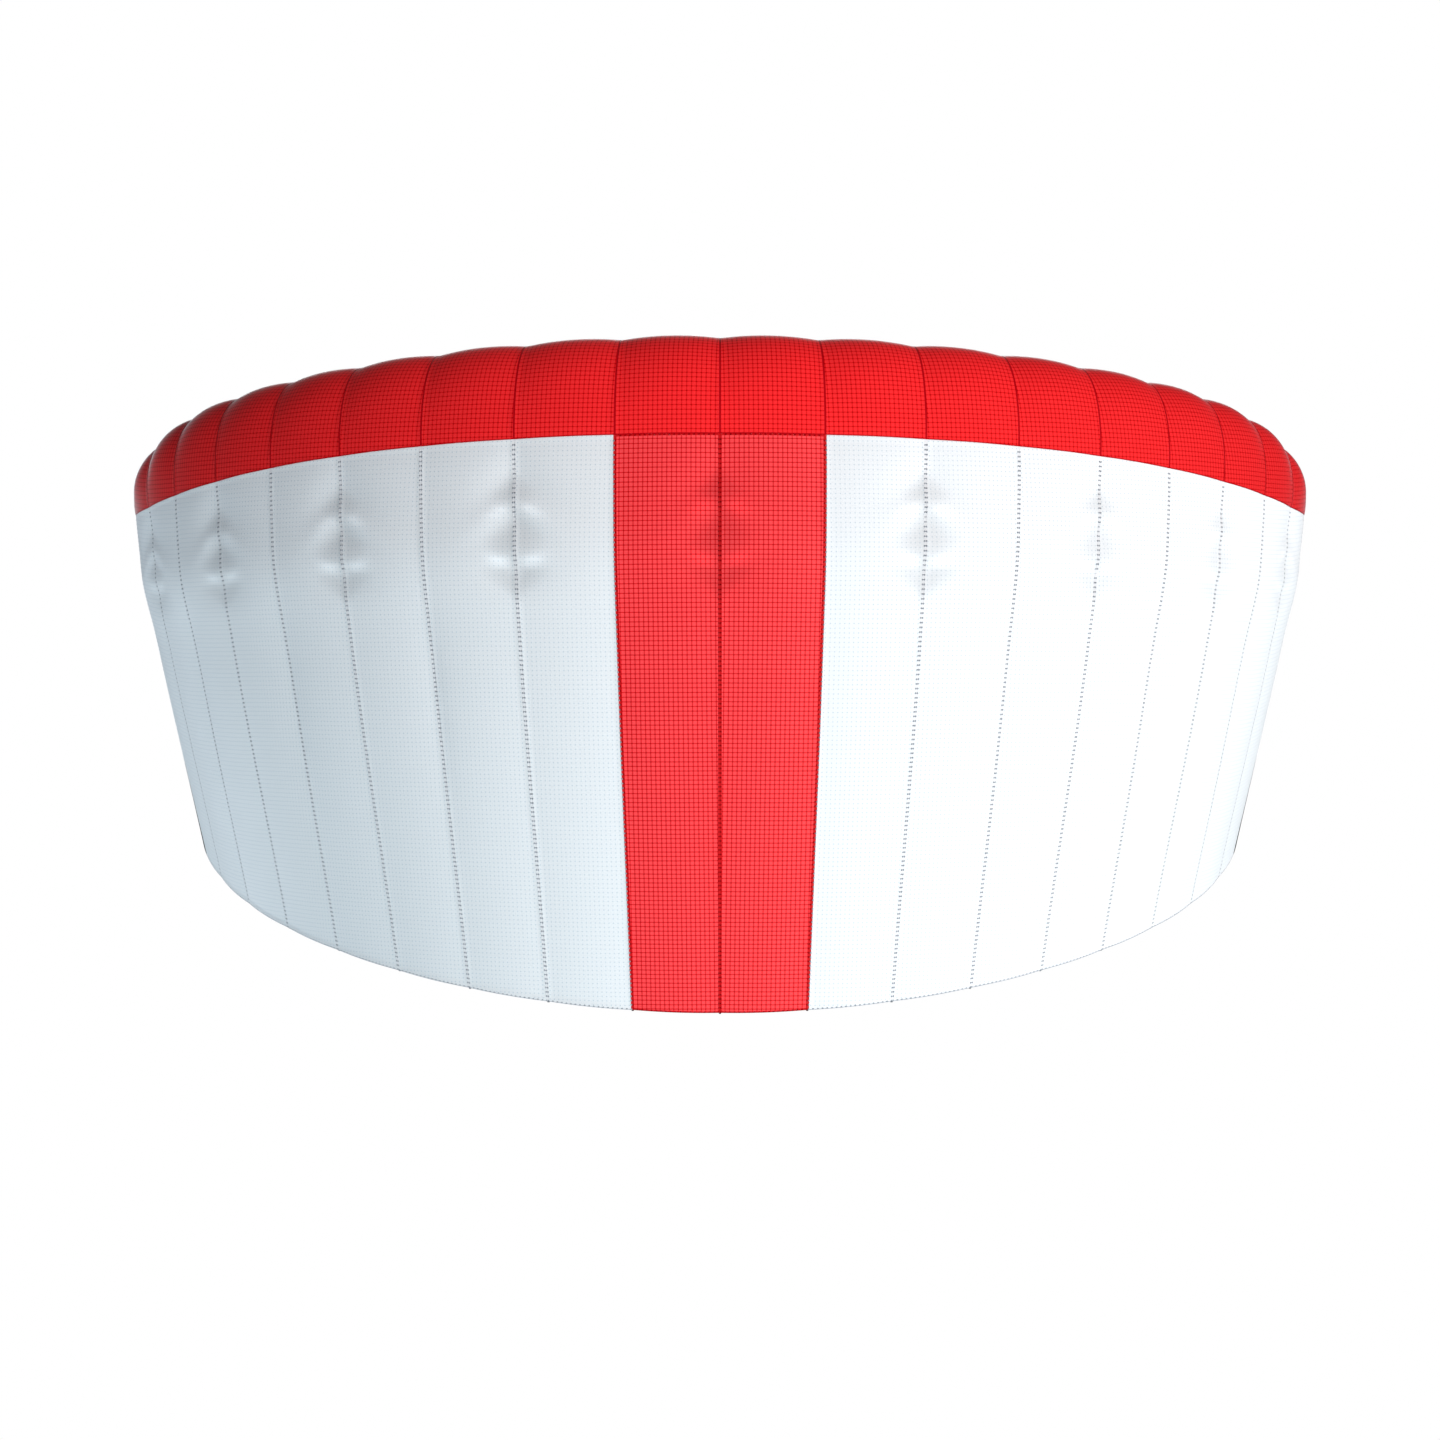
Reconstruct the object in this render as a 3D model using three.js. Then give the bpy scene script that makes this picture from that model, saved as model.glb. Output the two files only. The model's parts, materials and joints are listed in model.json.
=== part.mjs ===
// A small single-skin parawing, seen with its outer skin toward -Y.
//
// Millimetres. +X runs along the span, +Z up toward the leading edge, and the tips curl back
// toward +Y. The origin is where the middle bridle line meets the inner face of the middle seam.
//
// The wing is one smooth base surface. It is cut along chordwise seams into panels, each puffed
// a little outward between its seams and pulled in where a bridle line hangs on. The cloth rolls
// outward behind the lines, and the seams without lines carry a shallow crease.
//   seam  is -9 at one tip, 0 at the middle and 9 at the other tip, whole at every seam
//   chord is -1 at the rear lip of the nose, 0 at the seam behind the nose band
//         and 1 at the trailing edge

import * as THREE from 'three';

// Cloth
const SHEET = 2;
const SEAM_GAP = 0.3;

// Plan of the half span. Each rule is a list of coefficients in even powers of the station,
// which is 0 at the middle seam and 1 at the tip edge.
const PANELS_PER_SIDE = 9;
const PANEL_WIDTH = [191.5, -94, 25];
const PANEL_LENGTH = [1096, -471, 143, -38];
const NOSE_LENGTH = [278, -128, 307, -355];
const SWEEP_DROP = [0, 48, 83, -84];

// Arch across the span, in degrees of slope: a steady part and a part that tightens the tips
const ARCH_STEADY = 54.6;
const ARCH_TIGHTENING = 10.6;
const ARCH_TIGHTENING_POWER = 5;

// How the arch changes toward the trailing edge, as shares of its width and depth
const REAR_NARROWING = [-0.006, 0.069, -0.057];
const REAR_DEEPENING = [0.25, 0.25];

// Camber, in degrees of slope along the chord, and how much of it the tips lose
const CAMBER = [50.2, -47.2, 11.3];
const CAMBER_LOST_AT_TIP = 0.64;

// The nose band turns gently behind the seam and then tightly round the leading edge
const NOSE_GENTLE_TURN = 32;
const NOSE_TIGHT_TURN = 122;
const NOSE_TIGHT_POWER = 4;

// The whole wing leans back by this many degrees
const LEAN = 2.4;

// Puff of each panel between its seams: even over the skin, and growing round the leading edge
const PUFF_ON_SKIN = 2.2;
const PUFF_AT_LIP = 6;
const PUFF_GAIN_AT_TIP = 2;
const PUFF_GROWS_FROM = 0.1;
const PUFF_GROWS_OVER = 0.4;

// Roll of the cloth behind the bridle lines
const ROLL_HEIGHT = 6;
const ROLL_CHORD = 0.2;
const ROLL_LENGTH = 0.09;

// Dip along the seam behind the nose band
const NOSE_SEAM_DIP = 2.5;
const NOSE_SEAM_REACH = 32;

// Creases of the seams without lines, from the first seam beside the middle outward
const CREASE_DEPTHS = [1, 4, 4, 3, 0];
const CREASE_CHORD = 0.42;
const CREASE_AHEAD = 0.13;
const CREASE_BEHIND = 0.22;
const CREASE_INWARD = 32;
const CREASE_OUTWARD = 90;

// Pulls of the bridle lines, on every second seam: the dent fades over one length ahead of the line
// and another behind it. A fan of 0.5 draws it back 0.5 mm for each mm beside the seam.
const LINE_SEAM_STEP = 2;
const LINES = [
  { chord: 0.066, fan: 0.5, ahead: 45, behind: 28 },
  { chord: 0.139, fan: 0.5, ahead: 20, behind: 36 },
  { chord: 0.222, fan: 0, ahead: 20, behind: 36 },
];
const MIDDLE_LINE = 1;
const PULL_DEPTH = 4.5;
const PULL_REACH = 65;

// Loops for the rear lines, one at the trailing end of every seam
const TAB = { width: 4, thick: 1.6, lap: 14, reach: 3 };

// Where each panel's mesh is divided: closely at the pulls, and widely behind them
const BODY_ROWS = [
  0, 0.03, 0.066, 0.105, 0.139, 0.185, 0.222, 0.26, 0.32, 0.4, 0.5, 0.6, 0.7, 0.8, 0.9, 1,
];
const NOSE_ROWS = 11;
const COLUMNS = [0, 0.16, 0.33, 0.5, 0.67, 0.84, 1];

const INTEGRATION_STEPS = 48;

const RED_CLOTH = new THREE.MeshStandardMaterial({ color: 0xd9141f, roughness: 0.6, metalness: 0 });
const WHITE_CLOTH = new THREE.MeshStandardMaterial({ color: 0xe4e9ec, roughness: 0.6, metalness: 0 });
const BLACK_WEBBING = new THREE.MeshStandardMaterial({ color: 0x14161a, roughness: 0.8, metalness: 0 });

const radians = THREE.MathUtils.degToRad;

function evenPowers(coefficients, station) {
  return coefficients.reduce((sum, value, i) => sum + value * station ** (2 * i), 0);
}

// The area under a rule from 0 to an end, by the midpoint method
function integrate(rule, end) {
  const step = end / INTEGRATION_STEPS;
  let sum = 0;
  for (let i = 0; i < INTEGRATION_STEPS; i += 1) {
    sum += rule((i + 0.5) * step);
  }
  return sum * step;
}

function archSlope(station) {
  return radians(ARCH_STEADY * station + ARCH_TIGHTENING * station ** ARCH_TIGHTENING_POWER);
}

function camberSlope(chord, station) {
  const slope = CAMBER[0] * chord + CAMBER[1] * chord ** 2 + CAMBER[2] * chord ** 3;
  return radians(slope) * (1 - CAMBER_LOST_AT_TIP * station ** 2);
}

function noseSlope(along) {
  return radians(NOSE_GENTLE_TURN * along + NOSE_TIGHT_TURN * along ** NOSE_TIGHT_POWER);
}

// How far a chordwise section has gone down from the nose seam, and how far out from its tangent
function section(chord, station) {
  if (chord >= 0) {
    const length = evenPowers(PANEL_LENGTH, station);
    return {
      down: length * integrate((c) => Math.cos(camberSlope(c, station)), chord),
      out: -length * integrate((c) => Math.sin(camberSlope(c, station)), chord),
    };
  }
  const length = evenPowers(NOSE_LENGTH, station);
  return {
    down: -length * integrate((c) => Math.cos(noseSlope(c)), -chord),
    out: -length * integrate((c) => Math.sin(noseSlope(c)), -chord),
  };
}

// The smooth base surface, before the panels are puffed and pulled
function basePoint(seam, chord) {
  const side = Math.sign(seam);
  const station = Math.abs(seam) / PANELS_PER_SIDE;
  const across = integrate((t) => evenPowers(PANEL_WIDTH, t) * Math.cos(archSlope(t)), station);
  const back = integrate((t) => evenPowers(PANEL_WIDTH, t) * Math.sin(archSlope(t)), station);
  const { down, out } = section(chord, station);
  const rearward = chord >= 0 ? chord : down / evenPowers(PANEL_LENGTH, station);
  const slope = archSlope(station);
  const halfWidth = across * PANELS_PER_SIDE * (1 - evenPowers(REAR_NARROWING, station) * rearward);
  const depth = back * PANELS_PER_SIDE * (1 + evenPowers(REAR_DEEPENING, station) * rearward);
  const x = side * (halfWidth + out * Math.sin(slope));
  const y = depth - out * Math.cos(slope);
  const z = -evenPowers(SWEEP_DROP, station) - down;
  const lean = radians(LEAN);
  return new THREE.Vector3(
    x,
    y * Math.cos(lean) + z * Math.sin(lean),
    z * Math.cos(lean) - y * Math.sin(lean),
  );
}

// The outward direction, square to the base surface
function outward(seam, chord) {
  const step = 0.01;
  const alongSpan = basePoint(seam + step, chord).sub(basePoint(seam - step, chord));
  const alongChord = basePoint(seam, chord + step).sub(basePoint(seam, chord - step));
  return alongChord.cross(alongSpan).normalize();
}

// 1 at no distance, fading on both sides like a bell
function bell(distance, reach) {
  return Math.exp(-((distance / reach) ** 2));
}

function puff(seam, chord) {
  const station = Math.abs(seam) / PANELS_PER_SIDE;
  const withinPanel = seam - Math.floor(seam);
  const atLip = PUFF_AT_LIP + PUFF_GAIN_AT_TIP * station ** 2;
  const grown = THREE.MathUtils.smoothstep(-chord, PUFF_GROWS_FROM, PUFF_GROWS_FROM + PUFF_GROWS_OVER);
  const height = PUFF_ON_SKIN + (atLip - PUFF_ON_SKIN) * grown;
  return height * 4 * withinPanel * (1 - withinPanel);
}

// The roll behind the lines, less the dip along the nose seam
function roll(seam, chord) {
  const station = Math.abs(seam) / PANELS_PER_SIDE;
  const length = evenPowers(chord > 0 ? PANEL_LENGTH : NOSE_LENGTH, station);
  const dip = NOSE_SEAM_DIP * Math.exp((-Math.abs(chord) * length) / NOSE_SEAM_REACH);
  return ROLL_HEIGHT * bell(chord - ROLL_CHORD, ROLL_LENGTH) - dip;
}

function crease(seam, chord) {
  if (chord <= 0) {
    return 0;
  }
  const fromMiddle = Math.abs(seam);
  const order = Math.round((fromMiddle - 1) / 2);
  const beyond = fromMiddle - (2 * order + 1);
  const sideways = Math.abs(beyond) * evenPowers(PANEL_WIDTH, fromMiddle / PANELS_PER_SIDE);
  const across = Math.exp(-sideways / (beyond > 0 ? CREASE_OUTWARD : CREASE_INWARD)) * (1 - Math.abs(beyond));
  const along = bell(chord - CREASE_CHORD, chord > CREASE_CHORD ? CREASE_BEHIND : CREASE_AHEAD);
  return CREASE_DEPTHS[order] * across * along;
}

function pull(seam, chord) {
  const fromMiddle = Math.abs(seam);
  const station = fromMiddle / PANELS_PER_SIDE;
  const lineSeam = LINE_SEAM_STEP * Math.round(fromMiddle / LINE_SEAM_STEP);
  if (lineSeam > PANELS_PER_SIDE) {
    return 0;
  }
  const sideways = Math.abs(fromMiddle - lineSeam) * evenPowers(PANEL_WIDTH, station);
  const dents = LINES.map((line) => {
    const back = (chord - line.chord) * evenPowers(PANEL_LENGTH, station) - line.fan * sideways;
    return bell(back, back > 0 ? line.behind : line.ahead);
  });
  return PULL_DEPTH * bell(sideways, PULL_REACH) * dents.reduce((sum, value) => sum + value, 0);
}

// A point of the cloth at a given height above its outer face
function clothPoint(seam, chord, height = 0) {
  const rise = puff(seam, chord) + roll(seam, chord) - crease(seam, chord) - pull(seam, chord) + height;
  return basePoint(seam, chord).addScaledVector(outward(seam, chord), rise);
}

// A closed sheet from two grids of points, the outer face and the inner one
function sheetGeometry(outer, inner) {
  const rows = outer.length;
  const columns = outer[0].length;
  const positions = [...outer, ...inner].flatMap((row) => row.flatMap((p) => [p.x, p.y, p.z]));
  const innerStart = rows * columns;
  const triangles = [];
  const quad = (a, b, c, d) => triangles.push(a, b, c, a, c, d);
  for (let r = 0; r < rows - 1; r += 1) {
    for (let c = 0; c < columns - 1; c += 1) {
      const a = r * columns + c;
      const below = a + columns;
      quad(a, below, below + 1, a + 1);
      quad(innerStart + a, innerStart + a + 1, innerStart + below + 1, innerStart + below);
    }
  }
  const edge = (a, b) => quad(a, b, innerStart + b, innerStart + a);
  for (let c = 0; c < columns - 1; c += 1) {
    edge(c, c + 1);
    edge((rows - 1) * columns + c + 1, (rows - 1) * columns + c);
  }
  for (let r = 0; r < rows - 1; r += 1) {
    edge((r + 1) * columns, r * columns);
    edge(r * columns + columns - 1, (r + 1) * columns + columns - 1);
  }
  const geometry = new THREE.BufferGeometry();
  geometry.setAttribute('position', new THREE.Float32BufferAttribute(positions, 3));
  geometry.setIndex(triangles);
  geometry.computeVertexNormals();
  return geometry;
}

// One panel between two seams, over the given chords, held half a gap off each seam
function panelGeometry(firstSeam, chords) {
  const station = Math.abs(firstSeam + 0.5) / PANELS_PER_SIDE;
  const edgeShare = SEAM_GAP / 2 / evenPowers(PANEL_WIDTH, station);
  const seams = COLUMNS.map((c) => firstSeam + edgeShare + c * (1 - 2 * edgeShare));
  const grid = (height) => chords.map((chord) => seams.map((seam) => clothPoint(seam, chord, height)));
  return sheetGeometry(grid(0), grid(-SHEET));
}

function skinPanelGeometry(firstSeam) {
  const frontGap = SEAM_GAP / 2 / PANEL_LENGTH[0];
  const chords = BODY_ROWS.map((c) => frontGap + c * (1 - frontGap));
  return panelGeometry(firstSeam, chords);
}

function nosePanelGeometry(firstSeam) {
  const rearGap = SEAM_GAP / 2 / NOSE_LENGTH[0];
  const chords = [];
  for (let row = 0; row <= NOSE_ROWS; row += 1) {
    chords.push(-1 + (row / NOSE_ROWS) * (1 - rearGap));
  }
  return panelGeometry(firstSeam, chords);
}

// A short loop of webbing lapped under the seam and reaching past the trailing edge
function lineTabGeometry(seam) {
  const top = clothPoint(seam, 1, -SHEET - SEAM_GAP);
  const higher = clothPoint(seam, 0.98, -SHEET - SEAM_GAP);
  const rear = top.clone().sub(higher).normalize();
  const outDirection = outward(seam, 1);
  const sideways = rear.clone().cross(outDirection).normalize();
  const clear = outDirection.clone().addScaledVector(rear, -outDirection.dot(rear)).normalize();
  const geometry = new THREE.BoxGeometry(TAB.width, TAB.lap + TAB.reach, TAB.thick);
  const centre = top
    .clone()
    .addScaledVector(rear, (TAB.reach - TAB.lap) / 2)
    .addScaledVector(clear, -TAB.thick / 2);
  const turn = new THREE.Matrix4().makeBasis(sideways, rear, clear);
  geometry.applyMatrix4(turn.setPosition(centre));
  return geometry;
}

function sideName(seamOrPanel) {
  return seamOrPanel < 0 ? 'left' : 'right';
}

const middleLine = clothPoint(0, LINES[MIDDLE_LINE].chord, -SHEET);

const parawing = new THREE.Group();
parawing.name = 'parawing';
parawing.position.copy(middleLine).negate();

function addPiece(name, geometry, material) {
  const mesh = new THREE.Mesh(geometry, material);
  mesh.name = name;
  parawing.add(mesh);
}

for (let firstSeam = -PANELS_PER_SIDE; firstSeam < PANELS_PER_SIDE; firstSeam += 1) {
  const fromMiddle = firstSeam < 0 ? -firstSeam : firstSeam + 1;
  const place = `${sideName(firstSeam)}_${fromMiddle}`;
  const skinCloth = fromMiddle === 1 ? RED_CLOTH : WHITE_CLOTH;
  addPiece(`nose_panel_${place}`, nosePanelGeometry(firstSeam), RED_CLOTH);
  addPiece(`skin_panel_${place}`, skinPanelGeometry(firstSeam), skinCloth);
}

for (let seam = 1 - PANELS_PER_SIDE; seam < PANELS_PER_SIDE; seam += 1) {
  const place = seam === 0 ? 'middle' : `${sideName(seam)}_${Math.abs(seam)}`;
  addPiece(`line_tab_${place}`, lineTabGeometry(seam), BLACK_WEBBING);
}

export default parawing;
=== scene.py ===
# %% [markdown]
# # A hand-held parawing, sewn from single-skin cells
# A parawing is a wing of one layer of ripstop cloth with no stiff or inflated part. Air fills it from its
# hollow side, so each strip between two seams puffs outwards, and lines pull some of the seams inwards.
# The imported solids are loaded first, because every piece below stands exactly where they are.
# The unit is the metre. +X runs along the span, +Z to the leading edge and +Y to the hollow side.

import json
import math
from types import SimpleNamespace

import bmesh
import bpy
import numpy as np
from mathutils import Matrix

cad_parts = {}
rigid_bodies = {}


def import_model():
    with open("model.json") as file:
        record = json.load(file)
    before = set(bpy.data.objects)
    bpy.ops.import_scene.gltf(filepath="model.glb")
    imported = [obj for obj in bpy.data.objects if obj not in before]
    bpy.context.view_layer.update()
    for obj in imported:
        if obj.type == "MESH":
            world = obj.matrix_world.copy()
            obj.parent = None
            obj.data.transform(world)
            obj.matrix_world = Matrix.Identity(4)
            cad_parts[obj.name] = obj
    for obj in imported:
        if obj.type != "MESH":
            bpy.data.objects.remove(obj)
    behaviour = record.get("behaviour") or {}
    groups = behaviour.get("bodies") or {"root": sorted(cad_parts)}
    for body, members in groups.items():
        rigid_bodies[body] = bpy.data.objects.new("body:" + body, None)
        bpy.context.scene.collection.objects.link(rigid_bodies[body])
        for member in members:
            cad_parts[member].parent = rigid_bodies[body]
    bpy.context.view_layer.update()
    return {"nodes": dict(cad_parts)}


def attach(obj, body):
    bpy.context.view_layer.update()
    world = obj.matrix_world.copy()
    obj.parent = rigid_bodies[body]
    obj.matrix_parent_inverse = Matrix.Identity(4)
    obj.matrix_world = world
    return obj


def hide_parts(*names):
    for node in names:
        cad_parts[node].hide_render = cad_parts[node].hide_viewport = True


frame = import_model()
scene = bpy.context.scene

# %% [markdown]
# ## The cutting plan
# A sailmaker draws half of the wing and mirrors it, and lets every measure change smoothly from the
# middle seam to the tip. The same can be done here: t is 0 on the middle seam and 1 at the tip, and a
# measure is a sum of even powers of t, so both halves meet without a kink. It could also be drawn with
# curves and lofted, but a formula gives any point of the cloth, which the stitches need later on.
# The plan is in millimetres and degrees, as it would be on paper.

# %% Panel widths and the arch
MM = 0.001
PANELS_PER_SIDE = 9
PANEL_WIDTH = (191.5, -94, 25)
ARCH_STEADY = 54.6
ARCH_TIGHTENING = 10.6
ARCH_TIGHTENING_POWER = 5
STEPS = 48


def even(rule, t):
    """A measure at station t, from its even powers."""
    return sum(value * t ** (2 * i) for i, value in enumerate(rule))


def add_up(rate, end):
    """The length gathered from 0 to end, when rate says how fast it grows."""
    middles = (np.arange(STEPS) + 0.5) / STEPS
    return rate(end[..., None] * middles).sum(-1) * end / STEPS


def arch_slope(t):
    """How far the arch has turned at station t, in radians."""
    return np.radians(ARCH_STEADY * t + ARCH_TIGHTENING * t**ARCH_TIGHTENING_POWER)


def arch(t):
    """How far the panels reach out to station t, and how far they sink towards the hollow side."""
    across = add_up(lambda q: even(PANEL_WIDTH, q) * np.cos(arch_slope(q)), t) * PANELS_PER_SIDE
    depth = add_up(lambda q: even(PANEL_WIDTH, q) * np.sin(arch_slope(q)), t) * PANELS_PER_SIDE
    return across, depth


at_tip = [round(float(measure[0])) for measure in arch(np.array([1.0]))]
print("the arch reaches out", at_tip[0], "mm and sinks", at_tip[1], "mm on each side")

# %% [markdown]
# ## The taut cloth
# Seen from the end of the wing, each seam is one bent line. From the nose seam it runs back to the rear
# hem in a long low camber, and the other way it turns tightly round the leading edge and under. The
# camber gets flatter towards the tip, and the rear of the wing is a little narrower and deeper than
# the front. A flat grid could be bent with modifiers instead, but their bends would not add up exactly.

# %% The bent line of a seam
PANEL_LENGTH = (1096, -471, 143, -38)
NOSE_LENGTH = (278, -128, 307, -355)
CAMBER = (50.2, -47.2, 11.3)
CAMBER_LOST_AT_TIP = 0.64
NOSE_GENTLE_TURN = 32
NOSE_TIGHT_TURN = 122
NOSE_TIGHT_POWER = 4


def skin_profile(t, back):
    """How far down and out a seam runs from the nose seam to a share of the skin panel."""
    fade = (1 - CAMBER_LOST_AT_TIP * t**2)[..., None]

    def camber(c):
        return np.radians(CAMBER[0] * c + CAMBER[1] * c**2 + CAMBER[2] * c**3) * fade

    length = even(PANEL_LENGTH, t)
    down = length * add_up(lambda c: np.cos(camber(c)), back)
    out = -length * add_up(lambda c: np.sin(camber(c)), back)
    return down, out


def nose_profile(t, ahead):
    """How far down and out a seam runs from the nose seam to a share of the nose panel."""

    def turn(c):
        return np.radians(NOSE_GENTLE_TURN * c + NOSE_TIGHT_TURN * c**NOSE_TIGHT_POWER)

    length = even(NOSE_LENGTH, t)
    down = -length * add_up(lambda c: np.cos(turn(c)), ahead)
    out = -length * add_up(lambda c: np.sin(turn(c)), ahead)
    return down, out


lip_down, lip_out = nose_profile(np.array([0.0]), np.array([1.0]))
print("lip in the middle:", round(float(-lip_down[0])), "mm ahead,", round(float(-lip_out[0])), "mm inside")

# %% Any point of the taut cloth
SWEEP_DROP = (0, 48, 83, -84)
REAR_NARROWING = (-0.006, 0.069, -0.057)
REAR_DEEPENING = (0.25, 0.25)
LEAN = math.radians(2.4)


def base_point(seam, chord):
    """The taut cloth: seam counts panels from the middle, chord is 0 at the nose seam, 1 at the rear hem
    and -1 at the lip of the nose."""
    t = np.abs(seam) / PANELS_PER_SIDE
    slope = arch_slope(t)
    across, depth = arch(t)
    down_back, out_back = skin_profile(t, np.clip(chord, 0, None))
    down_nose, out_nose = nose_profile(t, np.clip(-chord, 0, None))
    on_nose = chord < 0
    down = np.where(on_nose, down_nose, down_back)
    out = np.where(on_nose, out_nose, out_back)
    rear = np.where(on_nose, down / even(PANEL_LENGTH, t), chord)
    half_span = across * (1 - even(REAR_NARROWING, t) * rear)
    hollow = depth * (1 + even(REAR_DEEPENING, t) * rear)
    x = np.sign(seam) * (half_span + out * np.sin(slope))
    y = hollow - out * np.cos(slope)
    z = -even(SWEEP_DROP, t) - down
    leaning_y = y * math.cos(LEAN) + z * math.sin(LEAN)
    leaning_z = z * math.cos(LEAN) - y * math.sin(LEAN)
    return np.stack([x, leaning_y, leaning_z], -1)


seam_ends = base_point(np.array([0.0, 0.0]), np.array([0.0, 1.0]))
straight = round(float(np.linalg.norm(seam_ends[1] - seam_ends[0])))
print("nose seam to rear hem in the middle:", straight, "mm in a straight line")

# %% [markdown]
# ## Puffs and the roll
# Taut cloth would look like sheet metal. The air lifts each panel between its seams, which is a low
# parabola across the panel and grows round the leading edge. The cloth rolls outwards just behind the
# lines, and the nose seam lies a little low. These, and the creases and pulls of the next step, are
# heights in millimetres over the taut cloth. A cloth simulation could find them too, but formulas give
# the same ones each time, and for any point.

# %% Puffs, the roll and the dip of the nose seam
PUFF_ON_SKIN = 2.2
PUFF_AT_LIP = 6
PUFF_GAIN_AT_TIP = 2
PUFF_GROWS_FROM = 0.1
PUFF_GROWS_OVER = 0.4
ROLL_HEIGHT = 6
ROLL_CHORD = 0.2
ROLL_LENGTH = 0.09
NOSE_SEAM_DIP = 2.5
NOSE_SEAM_REACH = 32


def bell(distance, reach):
    """1 at no distance, and fading on both sides like a bell."""
    return np.exp(-((distance / reach) ** 2))


def puff(seam, chord):
    """How far the air lifts a panel between its seams."""
    t = np.abs(seam) / PANELS_PER_SIDE
    place = np.abs(seam) - np.floor(np.abs(seam))
    at_lip = PUFF_AT_LIP + PUFF_GAIN_AT_TIP * t**2
    grown = np.clip((-chord - PUFF_GROWS_FROM) / PUFF_GROWS_OVER, 0, 1)
    grown = grown * grown * (3 - 2 * grown)
    return (PUFF_ON_SKIN + (at_lip - PUFF_ON_SKIN) * grown) * 4 * place * (1 - place)


def roll(seam, chord):
    """The roll behind the lines, less the dip along the nose seam."""
    t = np.abs(seam) / PANELS_PER_SIDE
    length = np.where(chord > 0, even(PANEL_LENGTH, t), even(NOSE_LENGTH, t))
    dip = NOSE_SEAM_DIP * np.exp(-np.abs(chord) * length / NOSE_SEAM_REACH)
    return ROLL_HEIGHT * bell(chord - ROLL_CHORD, ROLL_LENGTH) - dip


lip_puff = puff(np.array([0.5, PANELS_PER_SIDE - 0.5]), np.array([-1.0, -1.0]))
print("puff at the lip, first and last panel:", lip_puff.round(1), "mm")

# %% [markdown]
# ## Creases and pulls
# Three lines on every second seam pull dents into the cloth, steep ahead of a line and longer behind it,
# which fan out backwards from the seam. The seams between them have no lines and only carry one shallow
# crease each. These dents could be sculpted by hand, but as bells along each seam they stay the same
# for the cloth, the stitches and the dark strips.

# %% Creases and pulls
LINE_SEAM_STEP = 2
CREASE_DEPTHS = (1, 4, 4, 3, 0)
CREASE_CHORD = 0.42
CREASE_AHEAD = 0.13
CREASE_BEHIND = 0.22
CREASE_INWARD = 32
CREASE_OUTWARD = 90
LINES = (
    {"chord": 0.066, "fan": 0.5, "ahead": 45, "behind": 28},
    {"chord": 0.139, "fan": 0.5, "ahead": 20, "behind": 36},
    {"chord": 0.222, "fan": 0.0, "ahead": 20, "behind": 36},
)
PULL_DEPTH = 4.5
PULL_REACH = 65


def crease(seam, chord):
    """How deep the crease of a seam without lines is."""
    t = np.abs(seam) / PANELS_PER_SIDE
    order = np.round((np.abs(seam) - 1) / LINE_SEAM_STEP).astype(int)
    beyond = np.abs(seam) - (LINE_SEAM_STEP * order + 1)
    across = np.where(beyond > 0, CREASE_OUTWARD, CREASE_INWARD) / even(PANEL_WIDTH, t)
    along = np.where(chord > CREASE_CHORD, CREASE_BEHIND, CREASE_AHEAD)
    fade = np.exp(-np.abs(beyond) / across) * (1 - np.abs(beyond))
    return np.take(CREASE_DEPTHS, order) * fade * bell(chord - CREASE_CHORD, along) * (chord > 0)


def to_line_seam(seam):
    """The nearest seam that has lines, and how far away it is in millimetres."""
    nearest = np.round(seam / LINE_SEAM_STEP) * LINE_SEAM_STEP
    return nearest, np.abs(seam - nearest) * even(PANEL_WIDTH, seam / PANELS_PER_SIDE)


def pull(seam, chord):
    """How deep the lines draw the cloth in."""
    nearest, sideways = to_line_seam(np.abs(seam))
    length = even(PANEL_LENGTH, np.abs(seam) / PANELS_PER_SIDE)
    dents = 0
    for line in LINES:
        back = (chord - line["chord"]) * length - line["fan"] * sideways
        dents = dents + bell(back, np.where(back > 0, line["behind"], line["ahead"]))
    return PULL_DEPTH * bell(sideways, PULL_REACH) * dents * (nearest < PANELS_PER_SIDE)


line_chords = np.array([line["chord"] for line in LINES])
print("pull at the three lines of the middle seam:", pull(0 * line_chords, line_chords).round(1), "mm")

# %% [markdown]
# ## One point on the cloth
# All heights move a point along the outward normal, which is found from two short steps on the taut
# cloth. The frame of the part starts on the hollow side of the middle seam, at its middle line, so that
# point is taken off everything. From here on, one function places the panels, the thread and the dark
# strips.

# %% The point on the cloth, in metres
PROBE = 0.01
MIDDLE_LINE = 1
SHEET = 2


def outward(seam, chord):
    """The direction from the hollow side to the outer side of the cloth."""
    along = base_point(seam + PROBE, chord) - base_point(seam - PROBE, chord)
    down = base_point(seam, chord + PROBE) - base_point(seam, chord - PROBE)
    normal = np.cross(down, along)
    return normal / np.linalg.norm(normal, axis=-1, keepdims=True)


def lifted(seam, chord, height):
    """A point at a height over the cloth, in millimetres, before the origin is set."""
    rise = puff(seam, chord) + roll(seam, chord) - crease(seam, chord) - pull(seam, chord) + height
    return base_point(seam, chord) + outward(seam, chord) * rise[..., None]


ORIGIN = lifted(np.array([0.0]), np.array([LINES[MIDDLE_LINE]["chord"]]), np.array([-SHEET]))[0]


def cloth_point(seam, chord, height=0.0):
    """A point at a height over the cloth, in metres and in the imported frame."""
    seam, chord, height = np.broadcast_arrays(np.asarray(seam, float), chord, height)
    return (lifted(seam, chord, height) - ORIGIN) * MM


corner = cloth_point(PANELS_PER_SIDE, 1.0)
print("origin on the cutting plan:", ORIGIN.round(1), "rear corner of the tip:", corner.round(3))

# %% [markdown]
# ## The camera
# The picture looks level at the outer side of the wing from about three metres, so the arch draws the
# tips in. The camera's place and angle were found by laying the seams of the plan over the picture.

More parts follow.
